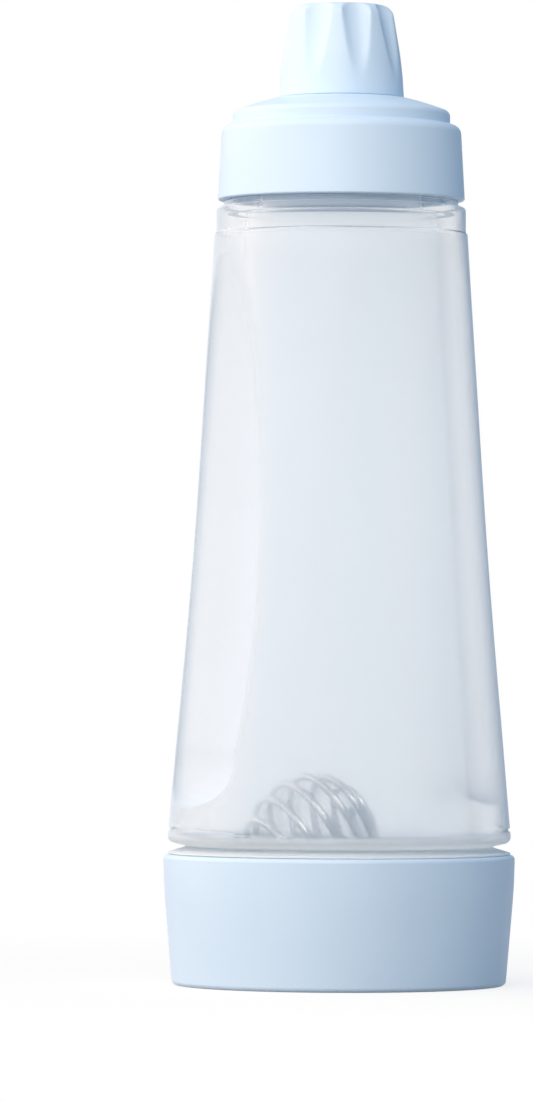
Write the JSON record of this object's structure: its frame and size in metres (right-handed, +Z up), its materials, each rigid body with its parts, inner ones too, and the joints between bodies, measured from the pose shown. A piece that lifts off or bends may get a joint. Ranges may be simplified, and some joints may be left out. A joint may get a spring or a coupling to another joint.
{
  "type": "batter dispenser",
  "caption": "Tall frosted squeeze bottle on a screw-on base cup, with a loose wound wire whisk ball inside and a domed screw lid with a slit nozzle under a fluted screw cap.",
  "frame": {"origin": "middle of the base cup's foot, on the surface it stands on", "axes": "+Z up the bottle's axis; the two grip recesses face +X and -X"},
  "size_m": [0.1002, 0.1002, 0.2794],
  "materials": {
    "pale_blue": "fine matte moulded polypropylene",
    "frosted": "frosted translucent squeeze plastic",
    "silicone": "milky translucent silicone",
    "wire": "bright drawn stainless wire"
  },
  "bodies": {
    "base": {"base_cap": "pale_blue"},
    "base_gasket": {"base_seal": "silicone"},
    "bottle": {"bottle": "frosted"},
    "whisk": {"whisk_ball": "wire"},
    "lid_gasket": {"lid_seal": "silicone"},
    "lid": {"lid": "pale_blue", "nozzle": "silicone", "nozzle_retainer": "pale_blue"},
    "cap_plug": {"cap_seal": "silicone"},
    "nozzle_cap": {"nozzle_cap": "pale_blue"}
  },
  "joints": [
    {"name": "bottle_rise", "type": "slide", "parent": "base", "child": "base_gasket", "axis": [0, 0, 1], "range_m": [0, 0.018]},
    {"name": "bottle_twist", "type": "hinge", "parent": "base_gasket", "child": "bottle", "pos_m": [0, 0, 0.038], "axis": [0, 0, 1], "range_deg": [0, 540]},
    {"name": "lid_rise", "type": "slide", "parent": "bottle", "child": "lid_gasket", "axis": [0, 0, 1], "range_m": [0, 0.018]},
    {"name": "lid_twist", "type": "hinge", "parent": "lid_gasket", "child": "lid", "pos_m": [0, 0, 0.2237], "axis": [0, 0, 1], "range_deg": [0, 540]},
    {"name": "cap_rise", "type": "slide", "parent": "lid", "child": "cap_plug", "axis": [0, 0, 1], "range_m": [0, 0.024]},
    {"name": "cap_twist", "type": "hinge", "parent": "cap_plug", "child": "nozzle_cap", "pos_m": [0, 0, 0.2532], "axis": [0, 0, 1], "range_deg": [0, 720]},
    {"name": "whisk_rattle", "type": "slide", "parent": "base", "child": "whisk", "axis": [0, 0, 1], "range_m": [0, 0.155]}
  ],
  "couplings": [
    {"joint": "bottle_rise", "follows": "bottle_twist", "m_per_rad": 0.0019099},
    {"joint": "lid_rise", "follows": "lid_twist", "m_per_rad": 0.0019099},
    {"joint": "cap_rise", "follows": "cap_twist", "m_per_rad": 0.0019099}
  ]
}
